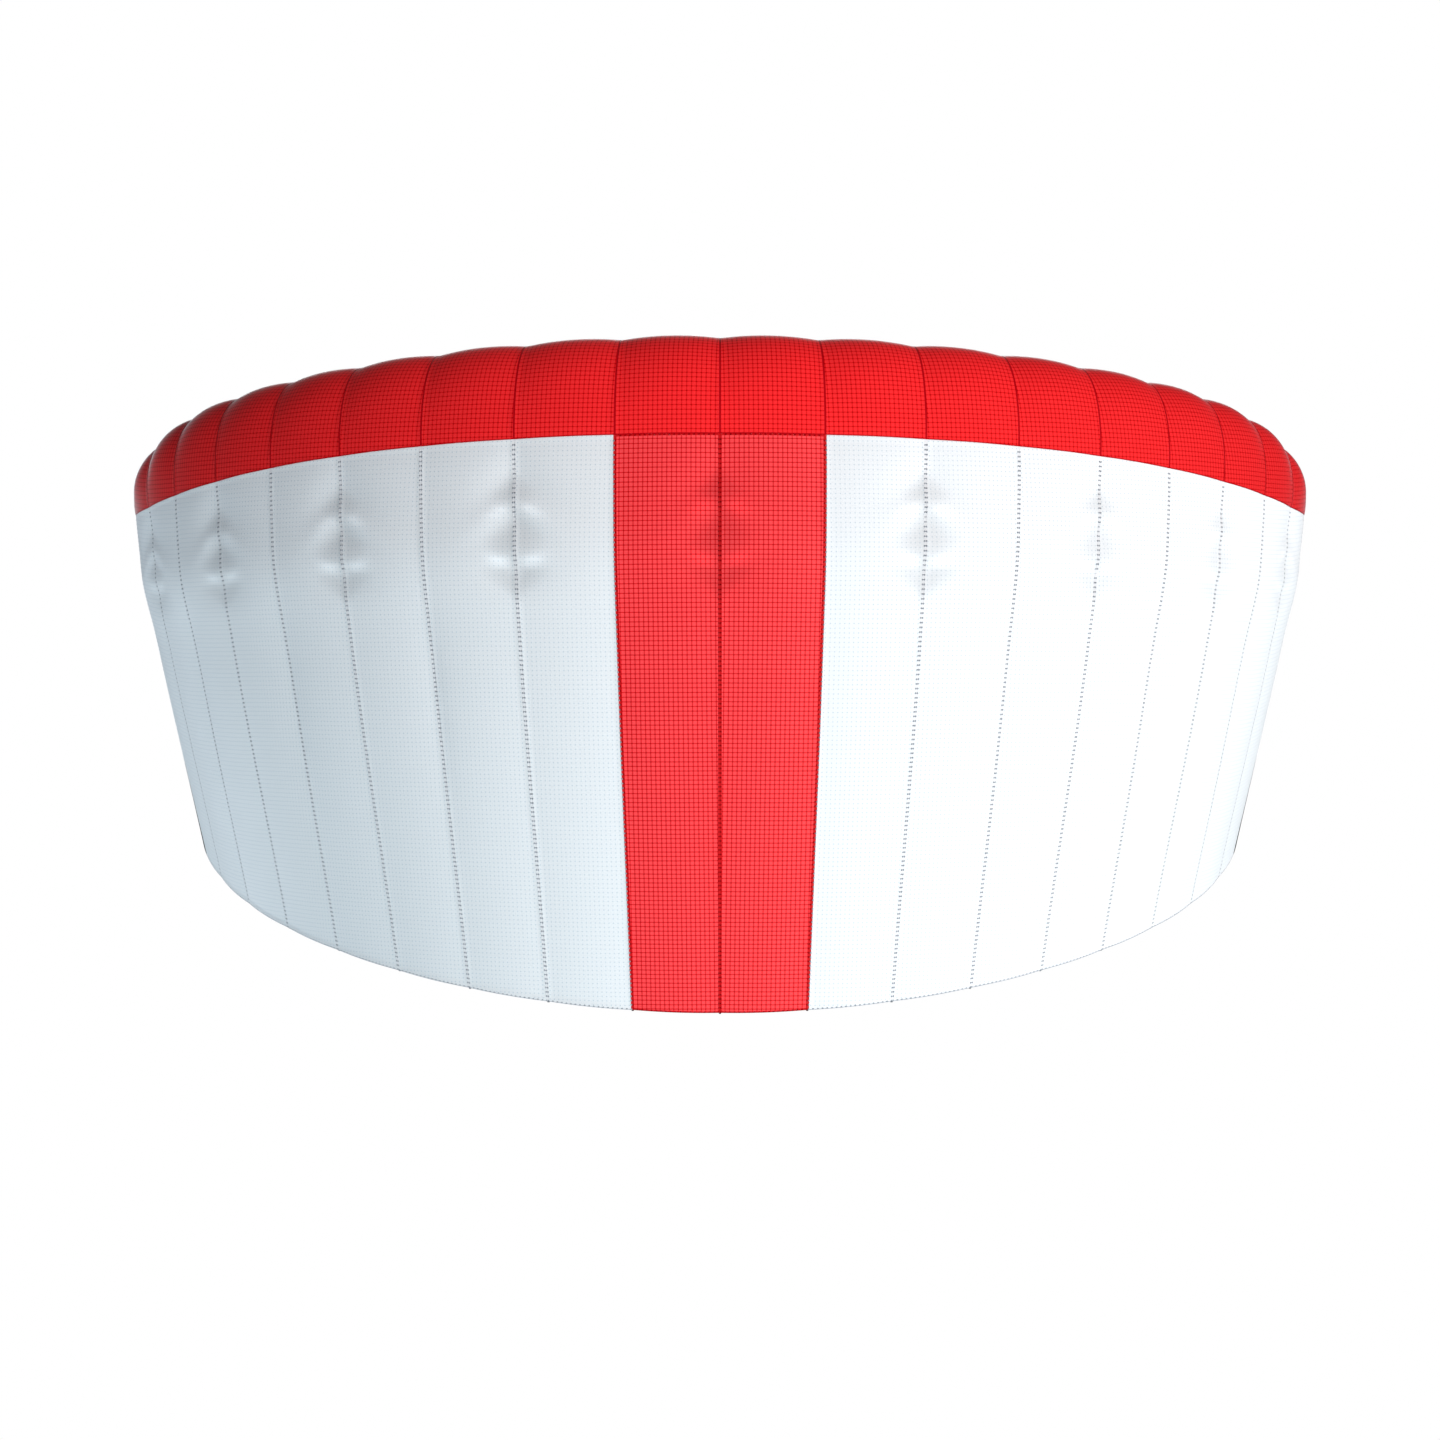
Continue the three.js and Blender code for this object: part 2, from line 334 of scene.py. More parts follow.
# %% Camera
CAMERA_PLACE = (0, -3132.7, -517.3)
CAMERA_ANGLE = 45.02
NEAREST_SEEN = 0.05
FARTHEST_SEEN = 100

camera_data = bpy.data.cameras.new("camera")
camera = bpy.data.objects.new("camera", camera_data)
scene.collection.objects.link(camera)
camera_data.angle = math.radians(CAMERA_ANGLE)
camera_data.clip_start = NEAREST_SEEN
camera_data.clip_end = FARTHEST_SEEN
camera.location = (np.array(CAMERA_PLACE) - ORIGIN) * MM
camera.rotation_euler = (math.radians(90), 0, 0)
scene.camera = camera
print("camera at", [round(c, 3) for c in camera.location])

# %% [markdown]
# ## The room
# The picture is a high-key studio shot with a pure white background and soft cool light from everywhere.
# The world is plain white to the camera and dimmer as a light, because a white world alone would wash
# out every dent.

# %% World
WHITE = (1, 1, 1, 1)
WORLD_COLOUR = (0.78, 0.8, 1.0, 1)
WORLD_STRENGTH = 0.065

world = bpy.data.worlds.new("white_room")
scene.world = world
world.use_nodes = True
room = world.node_tree
room.nodes.clear()


def background(colour, strength):
    """One even background for the room."""
    node = room.nodes.new("ShaderNodeBackground")
    node.inputs["Color"].default_value = colour
    node.inputs["Strength"].default_value = strength
    return node.outputs["Background"]


path = room.nodes.new("ShaderNodeLightPath")
either = room.nodes.new("ShaderNodeMixShader")
walls = room.nodes.new("ShaderNodeOutputWorld")
room.links.new(path.outputs["Is Camera Ray"], either.inputs["Fac"])
room.links.new(background(WORLD_COLOUR, WORLD_STRENGTH), either.inputs[1])
room.links.new(background(WHITE, 1), either.inputs[2])
room.links.new(either.outputs["Shader"], walls.inputs["Surface"])
scene.view_settings.view_transform = "Standard"
print("strength of the room's own light:", WORLD_STRENGTH)

# %% [markdown]
# ## The lamps
# Broad light from the right, in front and below bleaches the right half of the wing. It does not weaken
# across the wing, so the lamps stand far away. Large area lamps would do it in a studio, and here suns
# with a wide angle do, because a sun is equally strong everywhere.

# %% Lamps
LIGHT_BREADTH = 40
LIGHTS = (
    {"name": "key_right_front", "turn": 35, "rise": -12, "strength": 1.43, "colour": (1.0, 0.99, 1.0)},
    {"name": "side_right", "turn": 55, "rise": 0, "strength": 1.96, "colour": (1.0, 0.92, 0.89)},
    {"name": "front", "turn": 10, "rise": 0, "strength": 0.52, "colour": (0.96, 0.94, 1.0)},
    {"name": "behind_left", "turn": -120, "rise": -30, "strength": 1.83, "colour": (0.88, 0.93, 1.0)},
    {"name": "behind_above", "turn": 180, "rise": 15, "strength": 1.5, "colour": (1.0, 1.0, 1.0)},
)


def far_light(name, turn, rise, strength, colour):
    """A broad distant light. turn goes from straight in front to the right, rise is its height."""
    data = bpy.data.lights.new(name, "SUN")
    data.angle = math.radians(LIGHT_BREADTH)
    data.energy = strength
    data.color = colour
    light = bpy.data.objects.new(name, data)
    scene.collection.objects.link(light)
    light.rotation_euler = (math.radians(90 - rise), 0, math.radians(turn))


for settings in LIGHTS:
    far_light(**settings)
print("lamps:", len(LIGHTS))

# %% [markdown]
# ## The floor
# The wing flies high over a pale floor, which glows as if it had lamps of its own. That is the light
# from below: a studio gets it from a white floor that bounces the light up. A lamp under the floor
# would be hidden by it, so the floor itself is the lamp.

# %% Floor
FLOOR_HEIGHT = -4.7
FLOOR_RADIUS = 6
FLOOR_CORNERS = 64
FLOOR_COLOUR = (0.86, 0.87, 0.88, 1)
FLOOR_ROUGHNESS = 0.9
FLOOR_GLOW_COLOUR = (0.62, 0.9, 1.0, 1)
FLOOR_GLOW = 1.15

disc = bmesh.new()
disc_place = Matrix.Translation((0, 0, FLOOR_HEIGHT))
bmesh.ops.create_circle(disc, cap_ends=True, radius=FLOOR_RADIUS, segments=FLOOR_CORNERS, matrix=disc_place)
floor_data = bpy.data.meshes.new("floor")
disc.to_mesh(floor_data)
disc.free()
floor = bpy.data.objects.new("floor", floor_data)
scene.collection.objects.link(floor)
floor_paint = bpy.data.materials.new("pale_floor")
floor_paint.use_nodes = True
floor_shader = floor_paint.node_tree.nodes["Principled BSDF"]
floor_shader.inputs["Base Color"].default_value = FLOOR_COLOUR
floor_shader.inputs["Roughness"].default_value = FLOOR_ROUGHNESS
floor_shader.inputs["Emission Color"].default_value = FLOOR_GLOW_COLOUR
floor_shader.inputs["Emission Strength"].default_value = FLOOR_GLOW
floor_data.materials.append(floor_paint)
print("floor at", FLOOR_HEIGHT, "m, glow", FLOOR_GLOW)

# %% [markdown]
# ## Helpers for materials
# A material is a tree of nodes. The weave follows numbers that each panel carries, so most of the tree is
# small sums on them. The same could be clicked together in the shader editor, but a helper for each kind
# of node keeps every material below readable. A constant goes straight into the shader's own socket.

# %% Helpers for materials
def new_material(name):
    """An empty material with its Principled shader."""
    material = bpy.data.materials.new(name)
    material.use_nodes = True
    shader = material.node_tree.nodes["Principled BSDF"]
    return material, material.node_tree, shader


def feed(tree, socket, value):
    """A socket takes a number, a colour or another node's output."""
    if isinstance(value, bpy.types.NodeSocket):
        tree.links.new(value, socket)
    else:
        socket.default_value = value


def calculate(tree, operation, *values):
    """One Math node."""
    node = tree.nodes.new("ShaderNodeMath")
    node.operation = operation
    for socket, value in zip(node.inputs, values):
        feed(tree, socket, value)
    return node.outputs[0]


def fade_between(tree, value, start, end):
    """1 up to start, 0 from end on, and smooth between."""
    node = tree.nodes.new("ShaderNodeMapRange")
    node.interpolation_type = "SMOOTHSTEP"
    feed(tree, node.inputs["Value"], value)
    node.inputs["From Min"].default_value = start
    node.inputs["From Max"].default_value = end
    node.inputs["To Min"].default_value = 1
    node.inputs["To Max"].default_value = 0
    return node.outputs[0]


def blend_colours(tree, share, first, second):
    """A mix of two colours."""
    node = tree.nodes.new("ShaderNodeMix")
    node.data_type = "RGBA"
    feed(tree, node.inputs[0], share)
    feed(tree, node.inputs[6], first)
    feed(tree, node.inputs[7], second)
    return node.outputs[2]


print("materials before the first cloth:", len(bpy.data.materials))

# %% [markdown]
# ## The weave of ripstop cloth
# Ripstop nylon has thicker yarns at even steps both ways, which stop a tear. They show as a grid of
# faint darker lines with a darker dot at each crossing. The grid follows the cut of each panel, so it
# reads the panel's own flat layout, kept in metres in its UV map, and not the object's coordinates.
# An image could be tiled instead, but a formula stays sharp at any distance. The cloth is a little worn
# in broad spots, and the yarns are uneven, which gives small slubs of another tone.

# %% The yarn grid and its tones
GRID_STEP = 8.7 * MM
YARN_EDGE = (0.36, 1.44)
CROSSING_EDGE = (0.625, 1.75)
SPOTS_PER_METRE = 7
SPOT_DETAIL = 3
SPOT_SHARE = 0.3
SPOT_TONE = 0.93


def from_yarn(tree, steps):
    """How far a point lies from the nearest thick yarn of one direction, in millimetres."""
    return calculate(tree, "MULTIPLY", calculate(tree, "PINGPONG", steps, 0.5), GRID_STEP / MM)


def yarn_grid(tree, layout):
    """How much a point lies on a thick yarn, and how much on a crossing of two."""
    parts = tree.nodes.new("ShaderNodeSeparateXYZ")
    tree.links.new(layout, parts.inputs[0])
    steps = [calculate(tree, "DIVIDE", parts.outputs[direction], GRID_STEP) for direction in (0, 1)]
    distances = [from_yarn(tree, step) for step in steps]
    squares = [calculate(tree, "MULTIPLY", distance, distance) for distance in distances]
    from_crossing = calculate(tree, "SQRT", calculate(tree, "ADD", *squares))
    on_yarn = fade_between(tree, calculate(tree, "MINIMUM", *distances), *YARN_EDGE)
    return on_yarn, fade_between(tree, from_crossing, *CROSSING_EDGE)


def woven_colour(tree, spots, grid, cloth, yarn, crossing):
    """The colour of the cloth, a little worn in spots, with its yarns and crossings."""
    worn = [channel * SPOT_TONE for channel in cloth[:3]] + [1]
    colour = blend_colours(tree, calculate(tree, "MULTIPLY", spots, SPOT_SHARE), cloth, worn)
    colour = blend_colours(tree, grid[0], colour, yarn)
    return blend_colours(tree, grid[1], colour, crossing)


print("yarn grid:", round(GRID_STEP / MM, 1), "mm")

# %% [markdown]
# ## Seams, painted dent shade and painted highlights in the cloth's colour
# Near the seams the cloth lies several layers thick, and the red cloth looks deeper there. The outer
# fold of a hem shows as a thin darker line. Beside the red stripe a narrow lap of the dark red seam
# allowance lies on the first white panel. Where the lines pull dents into the cloth, the colour gets
# painted shade in three diamonds on each seam with lines, and painted highlights on the folds between
# them. The nose cloth gets painted shade towards the tips, where it turns away from the light. All this
# is tone, read from numbers that each panel carries; the sewn layers are thinner than the panels' relief.

# %% Tones from sewing and slubs, with painted dent shade and painted highlights
SEAM_SHARE = 0.93
SEAM_SOFTNESS = 0.4
LINE_SOFTNESS = 0.3
HEM_LINE = 1.2
LAP_WIDTH = 2.6
LAP_COLOUR = (0.54, 0.0, 0.003, 1)
SLUB_SIZE = 2.5 * MM
SLUB_TONE = 0.25
# Painted shade: how much darker the cloth is painted in the diamonds at the line pulls.
PAINTED_SHADE_STRENGTH = 0.16
# Painted shade: how much darker the nose cloth is painted at the tips, where it turns away from the light.
NOSE_SHADE_AT_TIP = 0.42


def stored(tree, name):
    """A number that each point of the mesh carries."""
    node = tree.nodes.new("ShaderNodeAttribute")
    node.attribute_name = name
    return node.outputs["Fac"]


def speckle(tree, place, per_metre, detail=2):
    """Soft random spots between 0 and 1, about so many to the metre."""
    node = tree.nodes.new("ShaderNodeTexNoise")
    node.inputs["Scale"].default_value = per_metre
    node.inputs["Detail"].default_value = detail
    tree.links.new(place, node.inputs["Vector"])
    return node.outputs["Fac"]


def within(tree, distance_name, width, softness):
    """1 in a band along an edge, whose distance each point carries in millimetres."""
    return fade_between(tree, stored(tree, distance_name), width - softness, width + softness)


def sewn_colour(tree, colour, seam, seam_width, hem):
    """A cloth's colour with its seam bands, its hem line and the lap beside the stripe."""
    in_seam = calculate(tree, "MULTIPLY", within(tree, "from_edge", seam_width, SEAM_SOFTNESS), SEAM_SHARE)
    colour = blend_colours(tree, in_seam, colour, seam)
    colour = blend_colours(tree, within(tree, "from_hem", HEM_LINE, LINE_SOFTNESS), colour, hem)
    return blend_colours(tree, within(tree, "from_stripe", LAP_WIDTH, LINE_SOFTNESS), colour, LAP_COLOUR)


def shade_of_cloth(tree, layout):
    """One factor for slubs, painted dent shade, painted highlights and painted shade at the nose ends."""
    slubs = speckle(tree, layout, 1 / SLUB_SIZE, detail=1)
    shade = calculate(tree, "MULTIPLY_ADD", slubs, SLUB_TONE, 1 - SLUB_TONE / 2)
    # Painted shade of the dents, and painted highlights where the value falls below 0.
    shade = calculate(tree, "MULTIPLY_ADD", stored(tree, "painted_dent_shade"), -PAINTED_SHADE_STRENGTH, shade)
    # Painted shade on the nose, growing towards the tips.
    return calculate(tree, "MULTIPLY_ADD", stored(tree, "nose_tip_shade"), -NOSE_SHADE_AT_TIP, shade)


print("seam band share:", SEAM_SHARE, "hem line:", HEM_LINE, "mm, lap:", LAP_WIDTH, "mm")

# %% [markdown]
# ## The three cloths
# White cloth, red cloth for the stripe and red cloth for the nose are one recipe in three colourings.
# The nose red is the stripe's red with less green and blue, as painted shade where the nose turns away.
# Coated nylon is dull with a faint silky edge, so the shader gets a middling roughness and some sheen.
# The nose has more sheen and hardly any gloss, because it turns away from the picture. One material
# with a switch would be shorter to list, but separate ones can be changed without touching the others.

# %% The recipe for ripstop
FINE_YARN_STEP = 0.62 * MM
FINE_YARN_RELIEF = 0.5
BUMP_STRENGTH = 0.6
BUMP_HEIGHT = 0.1 * MM
CLOTH_ROUGHNESS = 0.5
ROUGHNESS_CHANGE = 0.12
SHEEN_ROUGHNESS = 0.24


def scale_colour(tree, colour, factor):
    """A colour made darker or lighter by a factor."""
    node = tree.nodes.new("ShaderNodeVectorMath")
    node.operation = "SCALE"
    feed(tree, node.inputs[0], colour)
    feed(tree, node.inputs["Scale"], factor)
    return node.outputs[0]


def raise_surface(tree, shader, relief, strength, height):
    """Fine relief that is too small to model."""
    bump = tree.nodes.new("ShaderNodeBump")
    bump.inputs["Strength"].default_value = strength
    bump.inputs["Distance"].default_value = height
    tree.links.new(relief, bump.inputs["Height"])
    tree.links.new(bump.outputs["Normal"], shader.inputs["Normal"])


def ripstop(name, cloth, yarn, crossing, seam, seam_width, hem, specular, sheen):
    """Ripstop cloth in one colouring."""
    material, tree, shader = new_material(name)
    layout_node = tree.nodes.new("ShaderNodeUVMap")
    layout_node.uv_map = "cut"
    layout = layout_node.outputs["UV"]
    grid = yarn_grid(tree, layout)
    spots = speckle(tree, layout, SPOTS_PER_METRE, SPOT_DETAIL)

    colour = woven_colour(tree, spots, grid, cloth, yarn, crossing)
    colour = sewn_colour(tree, colour, seam, seam_width, hem)
    colour = scale_colour(tree, colour, shade_of_cloth(tree, layout))
    tree.links.new(colour, shader.inputs["Base Color"])

    fine = speckle(tree, layout, 1 / FINE_YARN_STEP, detail=1)
    relief = calculate(tree, "ADD", grid[0], calculate(tree, "MULTIPLY", fine, FINE_YARN_RELIEF))
    raise_surface(tree, shader, relief, BUMP_STRENGTH, BUMP_HEIGHT)
    rough = calculate(tree, "ADD", calculate(tree, "MULTIPLY", spots, ROUGHNESS_CHANGE), CLOTH_ROUGHNESS)
    tree.links.new(rough, shader.inputs["Roughness"])
    shader.inputs["Specular IOR Level"].default_value = specular
    shader.inputs["Sheen Weight"].default_value = sheen
    shader.inputs["Sheen Roughness"].default_value = SHEEN_ROUGHNESS
    shader.inputs["Sheen Tint"].default_value = WHITE
    return material


print("fine yarns:", round(FINE_YARN_STEP / MM, 2), "mm apart")

# %% White cloth, red cloth and nose cloth
white_cloth = ripstop(
    "white_ripstop",
    cloth=(0.80, 0.83, 0.84, 1),
    yarn=(0.78, 0.815, 0.828, 1),
    crossing=(0.54, 0.62, 0.67, 1),
    seam=(0.76, 0.775, 0.785, 1),
    seam_width=3.5,
    hem=(0.33, 0.36, 0.40, 1),
    specular=0.4,
    sheen=0.15,
)
red_cloth = ripstop(
    "red_ripstop",
    cloth=(0.95, 0.064, 0.071, 1),
    yarn=(0.74, 0.004, 0.009, 1),
    crossing=(0.36, 0.0, 0.0, 1),
    seam=(0.54, 0.0, 0.002, 1),
    seam_width=3.3,
    hem=(0.30, 0.0, 0.004, 1),
    specular=0.1,
    sheen=0.03,
)
# Painted shade: the stripe's red with less green and blue, for the nose that turns away from the light.
nose_cloth = ripstop(
    "red_nose_cloth",
    cloth=(0.97, 0.026, 0.030, 1),
    yarn=(0.76, 0.006, 0.008, 1),
    crossing=(0.36, 0.0, 0.0, 1),
    seam=(0.42, 0.0, 0.004, 1),
    seam_width=1.9,
    hem=(0.42, 0.0, 0.004, 1),
    specular=0.02,
    sheen=0.9,
)
print("cloths:", white_cloth.name, red_cloth.name, nose_cloth.name)

# %% [markdown]
# ## Measuring a panel
# Each strip of cloth between two seams is its own piece, as it is cut and sewn. A flat grid is laid on
# the plan line by line. The first and last lines lie close to the edges, because a felled seam is four
# layers of cloth, so a band along each edge stands a little proud of the panel. The lines between are
# even. Loop cuts by hand would do the same once, and here it is needed for 36 panels.

# %% Grid lines and sewn bands
SEAM_STEPS = (0, 1.2, 3.2, 4.0)
HEM_STEPS = (0, 1.2, 5.6, 6.4)
BAND_HEIGHT = 0.2
GROOVE = 0.15


def spread(index, count, size, first, last):
    """How far a grid line lies from the first edge, in millimetres: some fixed steps at both edges, and
    even steps between."""
    near = np.interp(index, range(len(first)), first)
    far = last[-1] - np.interp(count - index, range(len(last)), last)
    inner_lines = count - len(first) - len(last) + 2
    share = np.clip((index - len(first) + 1) / inner_lines, 0, 1)
    return near + (size - first[-1] - last[-1]) * share + far


def band(distance, steps):
    """The height of the sewn band at a distance from the edge, in millimetres."""
    return np.interp(distance, steps, (BAND_HEIGHT - GROOVE, BAND_HEIGHT, BAND_HEIGHT, 0))


print("band along a seam:", SEAM_STEPS[-1], "mm wide, along a hem:", HEM_STEPS[-1], "mm")

# %% The points of a panel on the plan
STRIPS = {
    "nose": {"runs": -1, "length": NOSE_LENGTH, "rows": 40},
    "skin": {"runs": 1, "length": PANEL_LENGTH, "rows": 110},
}
COLUMNS = 24
WIDTH_SAMPLES = 33


def panel_width(number, chord):
    """The width of a panel between its two seams at a chord, in millimetres."""
    samples = np.linspace(min(chord.min(), 0), max(chord.max(), 0), WIDTH_SAMPLES)
    span = base_point(np.full(WIDTH_SAMPLES, float(number)), samples)
    span = span - base_point(np.full(WIDTH_SAMPLES, number - 1.0), samples)
    return np.interp(chord, samples, np.linalg.norm(span, axis=-1))


def measure_panel(kind, number, column, row):
    """Where each point of a panel lies on the plan and how far from its edges, in millimetres."""
    strip = STRIPS[kind]
    outer_steps = HEM_STEPS if number == PANELS_PER_SIDE else SEAM_STEPS
    middle_length = even(strip["length"], (number - 0.5) / PANELS_PER_SIDE)
    from_nose_seam = spread(row, strip["rows"], middle_length, SEAM_STEPS, HEM_STEPS)
    width = panel_width(number, strip["runs"] * from_nose_seam / middle_length)
    from_inner = spread(column, COLUMNS, width, SEAM_STEPS, outer_steps)
    seam = number - 1 + from_inner / width
    length = even(strip["length"], seam / PANELS_PER_SIDE)
    down = spread(row, strip["rows"], length, SEAM_STEPS, HEM_STEPS)
    height = np.maximum(band(from_inner, SEAM_STEPS), band(width - from_inner, outer_steps))
    height = np.maximum(height, band(down, SEAM_STEPS))
    height = np.maximum(height, band(length - down, HEM_STEPS))
    return SimpleNamespace(
        seam=seam,
        chord=strip["runs"] * down / length,
        height=height,
        width=width,
        length=length,
        from_inner=from_inner,
        to_outer=width - from_inner,
        down=down,
        to_hem=length - down,
    )


widths = [round(float(panel_width(number, np.zeros(1))[0])) for number in range(1, PANELS_PER_SIDE + 1)]
print("panel widths at the nose seam:", widths, "mm")

# %% [markdown]
# ## Numbers for the materials
# Each point of a panel carries its distances from the edges, how much painted dent shade it gets, and on
# the nose how much painted shade it gets towards the tip. The painted dent shade is three diamonds in a
# row on each seam with lines, one behind each line, standing in for the shade of the dents that the lines
# pull in. The folds between the diamonds get painted highlights.

# %% Painted dent shade, painted highlights and edge distances
PAINTED_SHADE_CHORDS = (0.05, 0.09, 0.104, 0.12, 0.166, 0.186, 0.205, 0.225, 0.259, 0.281)
PAINTED_SHADE_HALF_WIDTHS = (0, 50, 50, 20, 66, 60, 20, 80, 26, 0)
PAINTED_SHADE_SOFTNESS = 12
PAINTED_SHADE_FADE = 0.5
PAINTED_SHADE_LOST_AT_TIP = 0.9
# Painted highlights on the folds between the diamonds of painted shade.
PAINTED_HIGHLIGHTS = ({"chord": 0.108, "fan": 0.42}, {"chord": 0.216, "fan": -0.3})
HIGHLIGHT_STRENGTH = 1.4
HIGHLIGHT_BREADTH = 9
HIGHLIGHT_PLACE = 33
HIGHLIGHT_REACH = 23
# How fast the painted shade on the nose grows towards the tips.
NOSE_SHADE_POWER = 1.5
STRIPE_NEIGHBOUR = 2


def painted_dent_shade(seam, chord):
    """Painted shade of the dents: 1 inside each diamond and 0 away from it, fading out towards its side
    corners. On the painted highlights of the folds between the diamonds the value falls below 0."""
    nearest, sideways = to_line_seam(seam)
    half_width = np.interp(chord, PAINTED_SHADE_CHORDS, PAINTED_SHADE_HALF_WIDTHS)
    softness = PAINTED_SHADE_SOFTNESS + PAINTED_SHADE_FADE * half_width
    value = np.clip((half_width - sideways) / softness, 0, 1)
    for highlight in PAINTED_HIGHLIGHTS:
        back = (chord - highlight["chord"]) * even(PANEL_LENGTH, seam / PANELS_PER_SIDE) - highlight["fan"] * sideways
        value = value - HIGHLIGHT_STRENGTH * bell(back, HIGHLIGHT_BREADTH) * bell(sideways - HIGHLIGHT_PLACE, HIGHLIGHT_REACH)
    return value * (1 - PAINTED_SHADE_LOST_AT_TIP * (seam / PANELS_PER_SIDE) ** 2) * (nearest < PANELS_PER_SIDE)


def carried_numbers(kind, number, on):
    """What the materials read at each point. Only the red panels show their seam with the nose."""
    is_skin = kind == "skin"
    from_edge = np.minimum(np.minimum(on.from_inner, on.to_outer), on.to_hem)
    if number == 1 or not is_skin:
        from_edge = np.minimum(from_edge, on.down)
    return {
        "from_edge": from_edge,
        "painted_dent_shade": painted_dent_shade(on.seam, on.chord) * is_skin,
        "nose_tip_shade": (on.seam / PANELS_PER_SIDE) ** NOSE_SHADE_POWER * (not is_skin),
        "from_hem": np.minimum(on.to_hem, on.to_outer if number == PANELS_PER_SIDE else on.length),
        "from_stripe": on.from_inner if is_skin and number == STRIPE_NEIGHBOUR else on.width,
    }


# Painted dent shade: how far it runs along the middle seam.
painted_shade_reach = (PAINTED_SHADE_CHORDS[-1] - PAINTED_SHADE_CHORDS[0]) * PANEL_LENGTH[0]
print("patches of the middle seam run over", round(painted_shade_reach), "mm")

# %% [markdown]
# ## Adding a piece
# Every finished piece is an object at the origin with its place in its mesh, it has one material, and it
# rides with the part. A left panel is the mirror of a right one, so its flat grid is turned over first:
# otherwise its outer side would face inwards once its points are placed.

# %% A new piece and its flat grid
SIDE_NAMES = {-1: "left", 1: "right"}
SQUARE_HALF = 0.5


def new_object(name, mesh, material):
    """A piece of the wing with one material, riding with the part."""
    piece = bpy.data.objects.new(name, mesh)
    scene.collection.objects.link(piece)
    mesh.materials.append(material)
    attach(piece, "root")
    return piece


def flat_grid(columns, rows, side, layer=None):
    """A flat square of one metre, cut into columns and rows, with a UV layer if it's named."""
    grid = bmesh.new()
    if layer:
        grid.loops.layers.uv.new(layer)
    bmesh.ops.create_grid(grid, x_segments=columns, y_segments=rows, size=SQUARE_HALF)
    if side < 0:
        bmesh.ops.reverse_faces(grid, faces=grid.faces)
    return grid


for kind, strip in STRIPS.items():
    print("a", kind, "panel has", COLUMNS * strip["rows"], "faces")

# %% [markdown]
# ## Thread
# The seams are sewn with a dull polyester thread, grey on white cloth and dark red on red cloth. It is
# almost without gloss, because a shiny thread would sparkle from far away.

# %% Thread
THREAD_TONES_PER_METRE = 120
THREAD_ROUGHNESS = 0.6
THREAD_GLOSS = 0.05


def own_place(tree):
    """The place on the piece itself, in metres."""
    return tree.nodes.new("ShaderNodeTexCoord").outputs["Object"]


def thread(name, colour, darker):
    """A dull thread with a slight change of tone from stitch to stitch."""
    material, tree, shader = new_material(name)
    tone = speckle(tree, own_place(tree), THREAD_TONES_PER_METRE)
    tree.links.new(blend_colours(tree, tone, colour, darker), shader.inputs["Base Color"])
    shader.inputs["Roughness"].default_value = THREAD_ROUGHNESS
    shader.inputs["Specular IOR Level"].default_value = THREAD_GLOSS
    return material


grey_thread = thread("grey_thread", (0.34, 0.37, 0.41, 1), (0.25, 0.28, 0.31, 1))
dark_red_thread = thread("dark_red_thread", (0.44, 0.0, 0.003, 1), (0.30, 0.0, 0.002, 1))
print("threads:", grey_thread.name, dark_red_thread.name)

# %% [markdown]
# ## The places of the stitches
# Each panel has a row of stitches along both seams and along its free hem, which is the lip on the nose
# and the rear hem on the skin. A seam so shows two rows, one on each side. The nose panels and the red
# stripe are also sewn along the nose seam, and the white panels show no thread there. A row could be a
# curve with an array on it, but a formula keeps the step even on cloth that bends both ways.

# %% Rows of stitches
STITCH_STEP = 8.7
SEAM_INSET = 1.85
HEM_INSET = 1.6


def steps_between(first, last):
    """Even steps of about one stitch between two ends."""
    count = max(int((last - first) / STITCH_STEP), 1)
    return np.linspace(first, last, count + 1)


def rows_along(kind, number):
    """The two rows that run along the seams of a panel, as seam, chord and direction of each stitch."""
    strip = STRIPS[kind]
    outer_inset = HEM_INSET if number == PANELS_PER_SIDE else SEAM_INSET
    for edge, inset in ((number - 1, SEAM_INSET), (number, -outer_inset)):
        length = even(strip["length"], edge / PANELS_PER_SIDE)
        chord = strip["runs"] * steps_between(SEAM_INSET + STITCH_STEP, length - HEM_INSET) / length
        yield edge + inset / panel_width(number, chord), chord, np.zeros(len(chord))


def row_across(kind, number, inset, from_rear):
    """One row that runs from seam to seam, at the nose seam or at the far hem."""
    strip = STRIPS[kind]

    def chord_at(length):
        return strip["runs"] * (length - inset if from_rear else inset) / length

    middle_length = even(strip["length"], (number - 0.5) / PANELS_PER_SIDE)
    width = panel_width(number, np.array([chord_at(middle_length)]))[0]
    first = SEAM_INSET + STITCH_STEP
    seam = number - 1 + steps_between(first, width - SEAM_INSET - STITCH_STEP) / width
    return seam, chord_at(even(strip["length"], seam / PANELS_PER_SIDE)), np.ones(len(seam))


def stitch_places(kind, number):
    """Seam and chord of each stitch of a panel, and 1 where its row runs from seam to seam."""
    rows = list(rows_along(kind, number))
    if kind == "nose" or number == 1:
        rows.append(row_across(kind, number, SEAM_INSET, False))
    rows.append(row_across(kind, number, HEM_INSET, True))
    return [np.concatenate(column) for column in zip(*rows)]


print("stitches of the first skin panel:", len(stitch_places("skin", 1)[0]))

# %% [markdown]
# ## The stitches
# A stitch is a small flat oval of thread, about 4 mm long, pressed into the cloth. All the stitches of a
# panel are copies of one ball of 20 faces, each stretched along its row, and they are joined in one
# object, because thousands of single objects would be slow. A painted line of dots would be lighter
# still, but it would vanish from the mesh that is kept.

